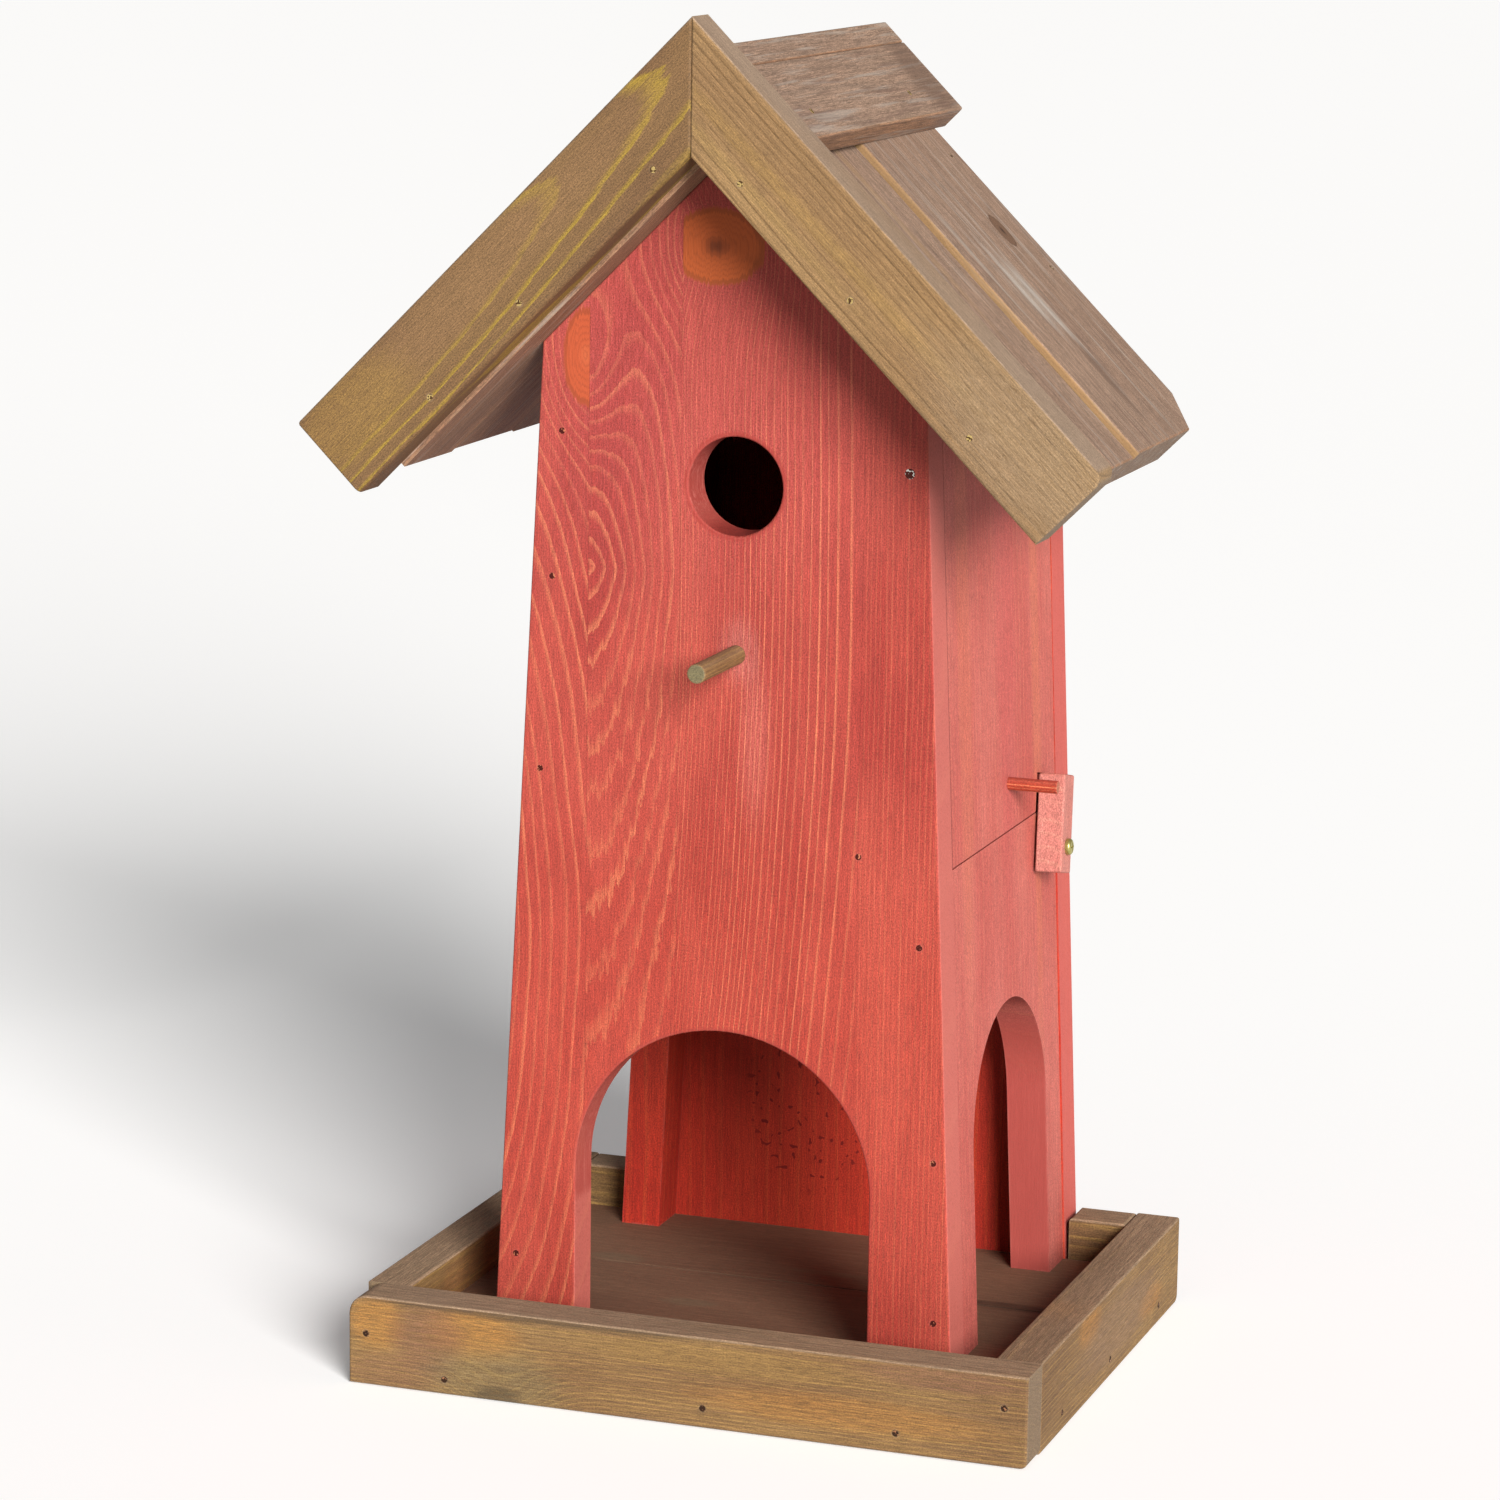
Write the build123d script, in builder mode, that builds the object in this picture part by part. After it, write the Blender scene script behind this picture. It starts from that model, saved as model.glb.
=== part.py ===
from build123d import *
import os
from math import cos, radians, sin, sqrt

# A wooden bird house on a feeding tray. Millimetres, +Z up, +X to the side with the door.
# The origin is the centre of the tray's underside, and the entrance hole faces -Y.

# ---- Tray -------------------------------------------------------------------------
tray_width = 300.0          # along X
tray_depth = 242.0          # along Y
rim_height = 39.0
rim_thickness = 20.0
floor_thickness = 20.0
floor_joint_y = 22.0        # where the two floor boards meet
back_rim_gap = 0.5          # between a short back rim and the back panel
rim_round = 1.2             # rounding on the rims' long arrises
front_rim_round = 8.5       # the front rim's worn upper corner on the left
front_rim_chip = 3.0        # and its lower corner on the right
side_rim_round = 4.0        # the side rims' lower rear corners
short_rim_round = 1.6
floor_joint_round = 0.8

# ---- Tower ------------------------------------------------------------------------
foot_half_width = 102.6     # half the tower's width at the top of the tray floor
wall_lean = 0.0468          # how much each side leans inward, per unit of height
front_y = -73.2             # face of the front panel
front_thickness = 19.0
back_thickness = 20.0
side_thickness = 18.0
side_recess = 0.3           # side panels sit this far inside the front panel's edges
lower_recess = 0.9          # the fixed panel under the door sits a little deeper

hole_diameter = 41.0
hole_x = 2.2
hole_z = 387.3
front_arch_radius = 65.7
front_arch_x = -0.4
front_arch_top = 157.0
side_arch_radius = 55.0
side_arch_top = 157.5
side_arch_cut = 40.0        # how far each way the side doorways are cut, past the boards
pencil_round = 0.9          # rounding on the sanded arrises

# ---- Nest floor and door ------------------------------------------------------------
nest_floor_z = 228.0
nest_floor_thickness = 18.0
nest_floor_clearance = 0.5
door_bottom_z = 230.6
door_gap = 0.8              # saw cut between the door and the fixed panel below it
door_side_gap = 0.5         # between the door's edges and the front and back panels
door_bottom_round = 0.6
pivot_x = 77.0
pivot_z = 397.0
pivot_diameter = 2.4
pivot_head = 4.2
pivot_length = 36.0
running_gap = 0.05          # radial clearance where one piece turns on another
knob_diameter = 5.6
knob_y = 30.0
knob_z = 251.0
knob_length = 22.0          # outside the door
knob_depth = 10.0
knob_round = 0.5

# ---- Turn button --------------------------------------------------------------------
latch_width = 15.0
latch_height = 43.0
latch_thickness = 12.0
latch_standoff = 0.3        # inner face of the button above the plane of the wall
latch_tilt = 13.0           # the top leans back by this many degrees
latch_y = 74.0
latch_z = 215.0             # height of its screw
latch_below = 11.5          # the button's lower end below its screw
latch_slot_gap = 0.35       # clearance of the slot in the door around the button
latch_round = 0.9
screw_diameter = 4.0
screw_head = 7.2
screw_head_height = 2.4
screw_depth = 14.0
screw_head_gap = 0.1        # between the button and the screw's head
screw_head_round = 1.4
screw_cross = (4.2, 0.9)    # length and width of each arm of the crossed slot
screw_cross_depth = 1.2

# ---- Perch --------------------------------------------------------------------------
perch_diameter = 8.0
perch_x = 3.5
perch_z = 317.5
perch_length = 48.0
perch_depth = 12.0
perch_round = 0.7

# ---- Roof: a right angle at the ridge, 45 degrees each side ---------------------------
# u runs down a slope from the peak of the barge boards, and v runs square into the roof.
roof_x = -4.0
peak_z = 579.3
barge_front_y = -114.5
barge_thickness = 19.0
barge_width = 39.0
barge_length_left = 242.0
barge_length_right = 245.5
barge_end_rounds = (1.5, 6.0)   # upper corner of the left and right barge's lower end
barge_round = 1.0
barge_worn_round = 3.0      # the left barge's lower front arris
plank_top = 21.0            # v of the planks' upper face
plank_under = 41.0          # v of their underside
strip_drop = 3.0            # the right front plank is thinner by this much
plank_length_right = 235.5
plank_lengths_left = (226.5, 224.5, 226.0)
plank_joints_left = (-45.5, 22.0)
plank_joint_right = 20.0
plank_back_y = 122.0
plank_joint_gap = 0.4
plank_round = 1.2
plank_corner_cut = 18.0     # the lower rear corners of the roof
cap_top = 8.8               # v of the ridge cap's upper face
cap_width = 61.0            # u of the cap boards' lower edges
cap_back_y = 134.0
cap_round = 1.0

# ---- Nails --------------------------------------------------------------------------
nail_diameter = 1.6
nail_head = 2.6
nail_head_height = 0.8
nail_length = 32.0
nail_proud = 0.12           # how far a head stands above the wood
# X and Z of the nails in the front panel and in the front rim
tower_nail_spots = ((-74, 406), (-78, 345), (-83, 263), (-93, 50), (58, 237), (85, 201), (93, 110), (94.5, 41))
rim_nail_spots = ((-142, 22.5), (-106, 6.5), (10, 8.5), (94, 8.5), (140, 25))
back_nail_heights = (60, 180, 300, 400)
back_nail_inset = 10.0
side_rim_nail_y = (-69, 6, 87)
side_rim_nail_z = 8.0
# u and v of the nails in each barge, then u of the nails in the planks, and u and Y of those in the cap
barge_nail_spots = {-1: ((54, 32), (134, 31), (190, 32)), 1: ((61, 31), (125, 29), (197, 30))}
plank_nail_u = (76, 142)
cap_nail_u = 48.0
cap_nail_y = (-47, 84)
cap_nail_length = 28.0

barge_back_y = barge_front_y + barge_thickness
inner_front_y = front_y + front_thickness
tray_back_y = tray_depth / 2
inner_back_y = tray_back_y - back_thickness
half_tray = tray_width / 2
half_floor = half_tray - rim_thickness
rim_front_y = -tray_depth / 2
floor_front_y = rim_front_y + rim_thickness
tower_middle_y = (front_y + tray_back_y) / 2
apex_z = peak_z - plank_under * sqrt(2)
lean_factor = sqrt(1 + wall_lean ** 2)

os.makedirs("parts", exist_ok=True)


def wall_x(z, depth=0.0):
    """Half the tower's width at height z, measured depth inside the sloping wall."""
    return foot_half_width - (z - floor_thickness) * wall_lean - depth * lean_factor


def wall_top(side, depth=0.0):
    """Point where that wall line meets the underside of the roof planks."""
    foot = wall_x(floor_thickness, depth)
    rise = apex_z + side * roof_x - floor_thickness
    reach = (foot - wall_lean * rise) / (1 - wall_lean)
    return (side * reach, apex_z + side * roof_x - reach)


def slope(side, u, v):
    """A point of the roof's profile: u down the slope from the peak, v into the roof."""
    return (roof_x + side * (u - v) / sqrt(2), peak_z - (u + v) / sqrt(2))


def block(x0, x1, y0, y1, z0, z1):
    with BuildSketch(Plane.XY.offset(z0)) as footprint:
        with Locations(((x0 + x1) / 2, (y0 + y1) / 2)):
            Rectangle(x1 - x0, y1 - y0)
    extrude(footprint.sketch, amount=z1 - z0)


def prism(points, y0, y1):
    """A profile in X and Z, carried from y0 back to y1."""
    with BuildSketch(Plane.XZ.offset(-y1)) as profile:
        with BuildLine():
            Polyline(*points, close=True)
        make_face()
    extrude(profile.sketch, amount=y1 - y0)


def gable(y0, y1, foot_z):
    """A panel with leaning sides and a roof-shaped top."""
    right_foot = (wall_x(foot_z), foot_z)
    left_foot = (-wall_x(foot_z), foot_z)
    prism((left_foot, right_foot, wall_top(1), (roof_x, apex_z), wall_top(-1)), y0, y1)


def side_board(side, recess, bottom_z, top_z=None):
    """A leaning side board between the front and back panels."""
    inner = recess + side_thickness
    outline = [(side * wall_x(bottom_z, inner), bottom_z), (side * wall_x(bottom_z, recess), bottom_z)]
    if top_z is None:
        outline += [wall_top(side, recess), wall_top(side, inner)]
    else:
        outline += [(side * wall_x(top_z, recess), top_z), (side * wall_x(top_z, inner), top_z)]
    return outline


def arch(plane, middle, radius, top, through):
    """Cuts a round-headed doorway that stands on the tray floor."""
    spring = top - radius
    with BuildSketch(plane) as doorway:
        with Locations((middle, spring)):
            Circle(radius)
        with Locations((middle, spring / 2)):
            Rectangle(2 * radius, spring)
    extrude(doorway.sketch, amount=through, both=True, mode=Mode.SUBTRACT)


def roof_board(side, top, under, upper_u, lower_u, y0, y1):
    """A board on a slope, cut square at its lower end. upper_u gives its two upper corners."""
    corners = ((upper_u[0], top), (lower_u, top), (lower_u, under), (upper_u[1], under))
    prism([slope(side, u, v) for u, v in corners], y0, y1)


def nail(point, inward, length=nail_length, head=nail_head, shank=nail_diameter):
    surface = Plane(origin=point, z_dir=inward)
    with BuildSketch(surface.offset(-nail_proud)) as head_disc:
        Circle(head / 2)
    extrude(head_disc.sketch, amount=nail_proud + nail_head_height)
    with BuildSketch(surface) as shank_disc:
        Circle(shank / 2)
    extrude(shank_disc.sketch, amount=length)


def soften(edges, radius=pencil_round):
    fillet(edges, radius=radius)


def finish(piece, name):
    piece.part.label = name
    export_step(piece.part, f"parts/{name}.step")


# ---- Nails, one node for each place they are used -------------------------------------
with BuildPart() as tower_nails:
    for nail_x, nail_z in tower_nail_spots:
        nail((nail_x, front_y, nail_z), (0, 1, 0))
    for nail_z in back_nail_heights:
        for side in (-1, 1):
            if nail_z < door_bottom_z or side < 0:
                spot = (side * wall_x(nail_z, back_nail_inset), tray_back_y, nail_z)
                nail(spot, (0, -1, 0))
finish(tower_nails, "tower_nails")

with BuildPart() as tray_nails:
    for nail_x, nail_z in rim_nail_spots:
        nail((nail_x, rim_front_y, nail_z), (0, 1, 0))
    for nail_y in side_rim_nail_y:
        for side in (-1, 1):
            nail((side * half_tray, nail_y, side_rim_nail_z), (-side, 0, 0))
finish(tray_nails, "tray_nails")

with BuildPart() as barge_nails:
    for side, spots in barge_nail_spots.items():
        for nail_u, nail_v in spots:
            nail_x, nail_z = slope(side, nail_u, nail_v)
            nail((nail_x, barge_front_y, nail_z), (0, 1, 0))
finish(barge_nails, "barge_nails")

right_strip_top = plank_top + strip_drop
with BuildPart() as plank_nails:
    for side in (-1, 1):
        into_roof = (-side / sqrt(2), 0, -1 / sqrt(2))
        for nail_u in plank_nail_u:
            for nail_y in (inner_front_y - front_thickness / 2, inner_back_y + back_thickness / 2):
                on_strip = side > 0 and nail_y < plank_joint_right
                nail_x, nail_z = slope(side, nail_u, right_strip_top if on_strip else plank_top)
                nail((nail_x, nail_y, nail_z), into_roof)
finish(plank_nails, "plank_nails")

with BuildPart() as cap_nails:
    for side in (-1, 1):
        into_roof = (-side / sqrt(2), 0, -1 / sqrt(2))
        for nail_y in cap_nail_y:
            nail_x, nail_z = slope(side, cap_nail_u, cap_top)
            nail((nail_x, nail_y, nail_z), into_roof, length=cap_nail_length)
finish(cap_nails, "cap_nails")

with BuildPart() as pivot_nails:
    nail((pivot_x, front_y, pivot_z), (0, 1, 0), pivot_length, pivot_head, pivot_diameter)
    nail((pivot_x, tray_back_y, pivot_z), (0, -1, 0), pivot_length, pivot_head, pivot_diameter)
finish(pivot_nails, "pivot_nails")

# ---- Latch screw: a pan head with a crossed slot --------------------------------------
wall_normal = (1, 0, wall_lean)
screw_foot = (wall_x(latch_z), latch_y, latch_z)
latch_plane = Plane(origin=screw_foot, x_dir=(0, 1, 0), z_dir=wall_normal)
tilt = radians(latch_tilt)
button_across = (wall_lean * sin(tilt) / lean_factor, cos(tilt), -sin(tilt) / lean_factor)
button_plane = Plane(origin=screw_foot, x_dir=button_across, z_dir=wall_normal)
head_height = latch_standoff + latch_thickness + screw_head_gap
with BuildPart() as latch_screw:
    with BuildSketch(latch_plane.offset(-screw_depth)):
        Circle(screw_diameter / 2)
    extrude(amount=screw_depth + head_height)
    with BuildSketch(latch_plane.offset(head_height)):
        Circle(screw_head / 2)
    extrude(amount=screw_head_height)
    top_rim = latch_screw.edges().filter_by(GeomType.CIRCLE).sort_by(Axis.X)[-1]
    fillet(top_rim, radius=screw_head_round)
    with BuildSketch(latch_plane.offset(head_height + screw_head_height)):
        Rectangle(*screw_cross)
        Rectangle(*reversed(screw_cross))
    extrude(amount=-screw_cross_depth, mode=Mode.SUBTRACT)
finish(latch_screw, "latch_screw")

# ---- Tray ---------------------------------------------------------------------------
with BuildPart() as front_rim:
    block(-half_tray, half_tray, rim_front_y, floor_front_y, 0, rim_height)
    top_left = (-half_tray, rim_front_y + rim_thickness / 2, rim_height)
    soften(front_rim.edges().sort_by_distance(top_left)[0], front_rim_round)
    bottom_right = (half_tray, rim_front_y + rim_thickness / 2, 0)
    soften(front_rim.edges().sort_by_distance(bottom_right)[0], front_rim_chip)
    soften(front_rim.faces().sort_by(Axis.Y)[0].edges(), rim_round)
    add(tray_nails.part, mode=Mode.SUBTRACT)
finish(front_rim, "front_rim")

for side, name in ((-1, "left_rim"), (1, "right_rim")):
    with BuildPart() as rim:
        inner_x = side * half_floor
        outer_x = side * half_tray
        block(min(inner_x, outer_x), max(inner_x, outer_x), floor_front_y, tray_back_y, 0, rim_height)
        bottom_back = (side * (half_tray + half_floor) / 2, tray_back_y, 0)
        soften(rim.edges().sort_by_distance(bottom_back)[0], side_rim_round)
        soften(rim.faces().sort_by(Axis.X)[0 if side < 0 else -1].edges(), rim_round)
        soften(rim.edges().sort_by_distance((inner_x, 0, rim_height))[0], rim_round)
        add(tray_nails.part, mode=Mode.SUBTRACT)
    finish(rim, name)

for side, name in ((-1, "back_rim_left"), (1, "back_rim_right")):
    with BuildPart() as short_rim:
        inner_x = side * (wall_x(0) + back_rim_gap)
        outer_x = side * half_floor
        block(min(inner_x, outer_x), max(inner_x, outer_x), inner_back_y, tray_back_y, 0, rim_height)
        soften(short_rim.faces().sort_by(Axis.Z)[-1].edges(), short_rim_round)
    finish(short_rim, name)

floor_spans = (("floor_board_front", floor_front_y, floor_joint_y),
               ("floor_board_rear", floor_joint_y, inner_back_y))
for name, y0, y1 in floor_spans:
    with BuildPart() as board:
        block(-half_floor, half_floor, y0, y1, 0, floor_thickness)
        joint_edges = board.faces().sort_by(Axis.Z)[-1].edges().filter_by(Axis.X)
        nearest = joint_edges.sort_by_distance((0, floor_joint_y, floor_thickness))[0]
        soften(nearest, floor_joint_round)
        add(tray_nails.part, mode=Mode.SUBTRACT)
    finish(board, name)

# ---- Tower ----------------------------------------------------------------------------
with BuildPart() as front_panel:
    gable(front_y, inner_front_y, floor_thickness)
    arch(Plane.XZ.offset(-inner_front_y), front_arch_x, front_arch_radius, front_arch_top, 2 * front_thickness)
    with BuildSketch(Plane.XZ.offset(-inner_front_y)):
        with Locations((hole_x, hole_z)):
            Circle(hole_diameter / 2)
    extrude(amount=front_thickness, mode=Mode.SUBTRACT)
    soften(front_panel.faces().sort_by(Axis.Y)[0].edges())
    with BuildSketch(Plane.XZ.offset(-front_y)):
        with Locations((perch_x, perch_z)):
            Circle(perch_diameter / 2 + running_gap)
    extrude(amount=-perch_depth, mode=Mode.SUBTRACT)
    add(tower_nails.part, mode=Mode.SUBTRACT)
    add(pivot_nails.part, mode=Mode.SUBTRACT)
    add(plank_nails.part, mode=Mode.SUBTRACT)
finish(front_panel, "front_panel")

with BuildPart() as back_panel:
    gable(inner_back_y, tray_back_y, 0)
    soften(back_panel.faces().sort_by(Axis.Y)[-1].edges())
    add(tower_nails.part, mode=Mode.SUBTRACT)
    add(pivot_nails.part, mode=Mode.SUBTRACT)
    add(plank_nails.part, mode=Mode.SUBTRACT)
finish(back_panel, "back_panel")

with BuildPart() as left_side_panel:
    prism(side_board(-1, side_recess, floor_thickness), inner_front_y, inner_back_y)
    arch(Plane.YZ.offset(-foot_half_width), tower_middle_y, side_arch_radius, side_arch_top, side_arch_cut)
    add(tower_nails.part, mode=Mode.SUBTRACT)
finish(left_side_panel, "left_side_panel")

with BuildPart() as right_side_panel:
    prism(side_board(1, lower_recess, floor_thickness, door_bottom_z - door_gap), inner_front_y, inner_back_y)
    arch(Plane.YZ.offset(foot_half_width), tower_middle_y, side_arch_radius, side_arch_top, side_arch_cut)
    add(tower_nails.part, mode=Mode.SUBTRACT)
    add(latch_screw.part, mode=Mode.SUBTRACT)
finish(right_side_panel, "right_side_panel")

nest_floor_top = nest_floor_z + nest_floor_thickness
with BuildPart() as nest_floor:
    reach = wall_x(nest_floor_top, side_recess + side_thickness)
    block(-reach, reach - nest_floor_clearance, inner_front_y, inner_back_y, nest_floor_z, nest_floor_top)
    add(tower_nails.part, mode=Mode.SUBTRACT)
finish(nest_floor, "nest_floor")

# ---- Door, hung on the two pivot nails ------------------------------------------------
knob_plane = Plane(origin=(wall_x(knob_z, side_recess), knob_y, knob_z), z_dir=(1, 0, 0))
with BuildPart() as side_door:
    door_front = inner_front_y + door_side_gap
    door_back = inner_back_y - door_side_gap
    outline = side_board(1, side_recess, door_bottom_z)
    outline[2] = (outline[2][0], outline[2][1] - door_gap)
    outline[3] = (outline[3][0], outline[3][1] - door_gap)
    prism(outline, door_front, door_back)
    outer_bottom = side_door.edges().filter_by(Axis.Y).sort_by(Axis.X)[-1]
    soften(outer_bottom, door_bottom_round)
    with BuildSketch(button_plane.offset(-2 * side_thickness)):
        with Locations((0, latch_height / 2 - latch_below)):
            Rectangle(latch_width + 2 * latch_slot_gap, latch_height + 2 * latch_slot_gap)
    extrude(amount=4 * side_thickness, mode=Mode.SUBTRACT)
    with BuildSketch(knob_plane.offset(1)):
        Circle(knob_diameter / 2 + running_gap)
    extrude(amount=-knob_depth - 1, mode=Mode.SUBTRACT)
    for bore_y, bore_dir in ((door_front, (0, 1, 0)), (door_back, (0, -1, 0))):
        with BuildSketch(Plane(origin=(pivot_x, bore_y, pivot_z), z_dir=bore_dir)):
            Circle(pivot_diameter / 2 + running_gap)
        extrude(amount=pivot_length - front_thickness + 1, mode=Mode.SUBTRACT)
finish(side_door, "side_door")

with BuildPart() as door_knob:
    with BuildSketch(knob_plane.offset(-knob_depth)):
        Circle(knob_diameter / 2)
    extrude(amount=knob_depth + knob_length)
    soften(door_knob.edges().filter_by(GeomType.CIRCLE).sort_by(Axis.X)[-1], knob_round)
finish(door_knob, "door_knob")

with BuildPart() as turn_latch:
    with BuildSketch(button_plane.offset(latch_standoff)):
        with Locations((0, latch_height / 2 - latch_below)):
            Rectangle(latch_width, latch_height)
    extrude(amount=latch_thickness)
    soften(turn_latch.edges(), latch_round)
    with BuildSketch(latch_plane):
        Circle(screw_diameter / 2 + running_gap)
    extrude(amount=2 * latch_thickness, mode=Mode.SUBTRACT)
finish(turn_latch, "turn_latch")

with BuildPart() as perch:
    with BuildSketch(Plane.XZ.offset(-front_y - perch_depth)):
        with Locations((perch_x, perch_z)):
            Circle(perch_diameter / 2)
    extrude(amount=perch_depth + perch_length)
    soften(perch.edges().filter_by(GeomType.CIRCLE).sort_by(Axis.Y)[0], perch_round)
finish(perch, "perch")

# ---- Roof -------------------------------------------------------------------------------
barges = ((-1, "barge_left", barge_length_left, barge_end_rounds[0]),
          (1, "barge_right", barge_length_right, barge_end_rounds[1]))
for side, name, length, corner in barges:
    with BuildPart() as barge:
        roof_board(side, 0, barge_width, (0, barge_width), length, barge_front_y, barge_back_y)
        end_x, end_z = slope(side, length, 0)
        end_corner = (end_x, barge_front_y + barge_thickness / 2, end_z)
        soften(barge.edges().sort_by_distance(end_corner)[0], corner)
        if side < 0:
            low_x, low_z = slope(side, length / 2, barge_width)
            soften(barge.edges().sort_by_distance((low_x, barge_front_y, low_z))[0], barge_worn_round)
        soften(barge.faces().sort_by(Axis.Y)[0].edges(), barge_round)
        add(barge_nails.part, mode=Mode.SUBTRACT)
    finish(barge, name)

right_spans = (("right_plank_front", right_strip_top, barge_back_y, plank_joint_right - plank_joint_gap),
               ("right_plank_rear", plank_top, plank_joint_right, plank_back_y))
left_bounds = (barge_back_y,) + plank_joints_left + (plank_back_y,)
left_names = ("left_plank_front", "left_plank_middle", "left_plank_rear")
left_spans = [(name, plank_top, left_bounds[i] + (plank_joint_gap if i else 0), left_bounds[i + 1])
              for i, name in enumerate(left_names)]
planks = [(1, name, top, plank_length_right, y0, y1) for name, top, y0, y1 in right_spans]
planks += [(-1, span[0], span[1], length, span[2], span[3])
           for span, length in zip(left_spans, plank_lengths_left)]
for side, name, top, length, y0, y1 in planks:
    with BuildPart() as plank:
        roof_board(side, top, plank_under, (top, plank_under), length, y0, y1)
        if y1 == plank_back_y:
            end_x, end_z = slope(side, length, (top + plank_under) / 2)
            rear_corner = plank.edges().sort_by_distance((end_x, y1, end_z))[0]
            chamfer(rear_corner, length=plank_corner_cut)
        middle_x, middle_z = slope(side, length / 2, top)
        weather_face = plank.faces().sort_by_distance((middle_x, (y0 + y1) / 2, middle_z))[0]
        soften(weather_face.edges().sort_by(Axis.Z)[:-1], plank_round)
        add(plank_nails.part, mode=Mode.SUBTRACT)
        add(barge_nails.part, mode=Mode.SUBTRACT)
        add(cap_nails.part, mode=Mode.SUBTRACT)
    finish(plank, name)

for side, name, upper_u in ((-1, "ridge_cap_left", cap_top), (1, "ridge_cap_right", plank_top)):
    with BuildPart() as cap:
        roof_board(side, cap_top, plank_top, (upper_u, upper_u), cap_width, barge_back_y, cap_back_y)
        soften(cap.edges(), cap_round)
        add(cap_nails.part, mode=Mode.SUBTRACT)
    finish(cap, name)
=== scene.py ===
import math

import bpy
from mathutils import Matrix, Vector


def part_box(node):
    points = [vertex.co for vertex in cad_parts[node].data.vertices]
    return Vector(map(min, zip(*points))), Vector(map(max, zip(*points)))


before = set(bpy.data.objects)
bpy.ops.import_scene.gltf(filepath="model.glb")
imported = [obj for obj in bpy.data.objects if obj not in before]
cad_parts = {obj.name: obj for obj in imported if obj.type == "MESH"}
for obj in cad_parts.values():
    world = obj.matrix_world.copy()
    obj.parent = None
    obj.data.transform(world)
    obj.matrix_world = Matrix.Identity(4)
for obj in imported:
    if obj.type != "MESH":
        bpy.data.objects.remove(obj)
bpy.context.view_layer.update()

# ---------------------------------------------------------------------------------------
# Camera, light and floor
# ---------------------------------------------------------------------------------------
CAMERA_PLACE = (0.6664, -1.9440, 0.6748)
CAMERA_YAW = math.radians(19.33)       # turned towards -X from straight ahead along +Y
CAMERA_PITCH = math.radians(-11.315)
CAMERA_ROLL = math.radians(0.793)
CAMERA_LENS = 117.57
CAMERA_SENSOR = 36.0
CAMERA_REACH = 100.0

SUN_SIDE = math.radians(40.0)          # the key light stands this far to the right of the front
SUN_HEIGHT = math.radians(20.0)
SUN_SOFTNESS = math.radians(27.0)
SUN_POWER = 6.6
SUN_COLOUR = (1.0, 0.985, 0.965)
SKY_POWER = 0.19
FLOOR_GLOW = 0.15                      # lifts the pale floor to white without lighting the wood much
FLOOR_SHADE = 0.92
FLOOR_REACH = 30.0
FLOOR_DROP = 0.0004                    # keeps the floor's face just under the tray's
STAIN_DEPTH = 0.64                     # the stained boards' reflectance, against the colours given below


def make_camera():
    forward = Vector((-math.sin(CAMERA_YAW) * math.cos(CAMERA_PITCH),
                      math.cos(CAMERA_YAW) * math.cos(CAMERA_PITCH),
                      math.sin(CAMERA_PITCH)))
    level = Vector((math.cos(CAMERA_YAW), math.sin(CAMERA_YAW), 0.0))
    upright = level.cross(forward)
    right = level * math.cos(CAMERA_ROLL) + upright * math.sin(CAMERA_ROLL)
    up = upright * math.cos(CAMERA_ROLL) - level * math.sin(CAMERA_ROLL)
    data = bpy.data.cameras.new("camera")
    data.lens = CAMERA_LENS
    data.sensor_width = CAMERA_SENSOR
    data.clip_end = CAMERA_REACH
    camera = bpy.data.objects.new("camera", data)
    camera.matrix_world = Matrix((
        (right.x, up.x, -forward.x, CAMERA_PLACE[0]),
        (right.y, up.y, -forward.y, CAMERA_PLACE[1]),
        (right.z, up.z, -forward.z, CAMERA_PLACE[2]),
        (0.0, 0.0, 0.0, 1.0)))
    bpy.context.scene.collection.objects.link(camera)
    bpy.context.scene.camera = camera


def make_light():
    data = bpy.data.lights.new("key", "SUN")
    data.energy = SUN_POWER
    data.angle = SUN_SOFTNESS
    data.color = SUN_COLOUR
    light = bpy.data.objects.new("key", data)
    towards_light = Vector((math.sin(SUN_SIDE) * math.cos(SUN_HEIGHT),
                            -math.cos(SUN_SIDE) * math.cos(SUN_HEIGHT),
                            math.sin(SUN_HEIGHT)))
    light.rotation_euler = (-towards_light).to_track_quat("-Z", "Y").to_euler()
    bpy.context.scene.collection.objects.link(light)
    world = bpy.data.worlds.new("studio")
    bpy.context.scene.world = world
    world.use_nodes = True
    background = world.node_tree.nodes["Background"]
    background.inputs["Color"].default_value = (1.0, 1.0, 1.0, 1.0)
    background.inputs["Strength"].default_value = SKY_POWER


def make_floor():
    mesh = bpy.data.meshes.new("floor")
    corners = [(x * FLOOR_REACH, y * FLOOR_REACH, 0) for x, y in ((-1, -1), (1, -1), (1, 1), (-1, 1))]
    mesh.from_pydata(corners, [], [(0, 1, 2, 3)])
    floor = bpy.data.objects.new("floor", mesh)
    floor.location.z = -FLOOR_DROP
    bpy.context.scene.collection.objects.link(floor)
    material = bpy.data.materials.new("floor_white")
    material.use_nodes = True
    shader = material.node_tree.nodes["Principled BSDF"]
    shader.inputs["Base Color"].default_value = (FLOOR_SHADE, FLOOR_SHADE, FLOOR_SHADE, 1.0)
    shader.inputs["Roughness"].default_value = 0.9
    shader.inputs["Emission Color"].default_value = (1.0, 1.0, 1.0, 1.0)
    shader.inputs["Emission Strength"].default_value = FLOOR_GLOW
    mesh.materials.append(material)


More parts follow.
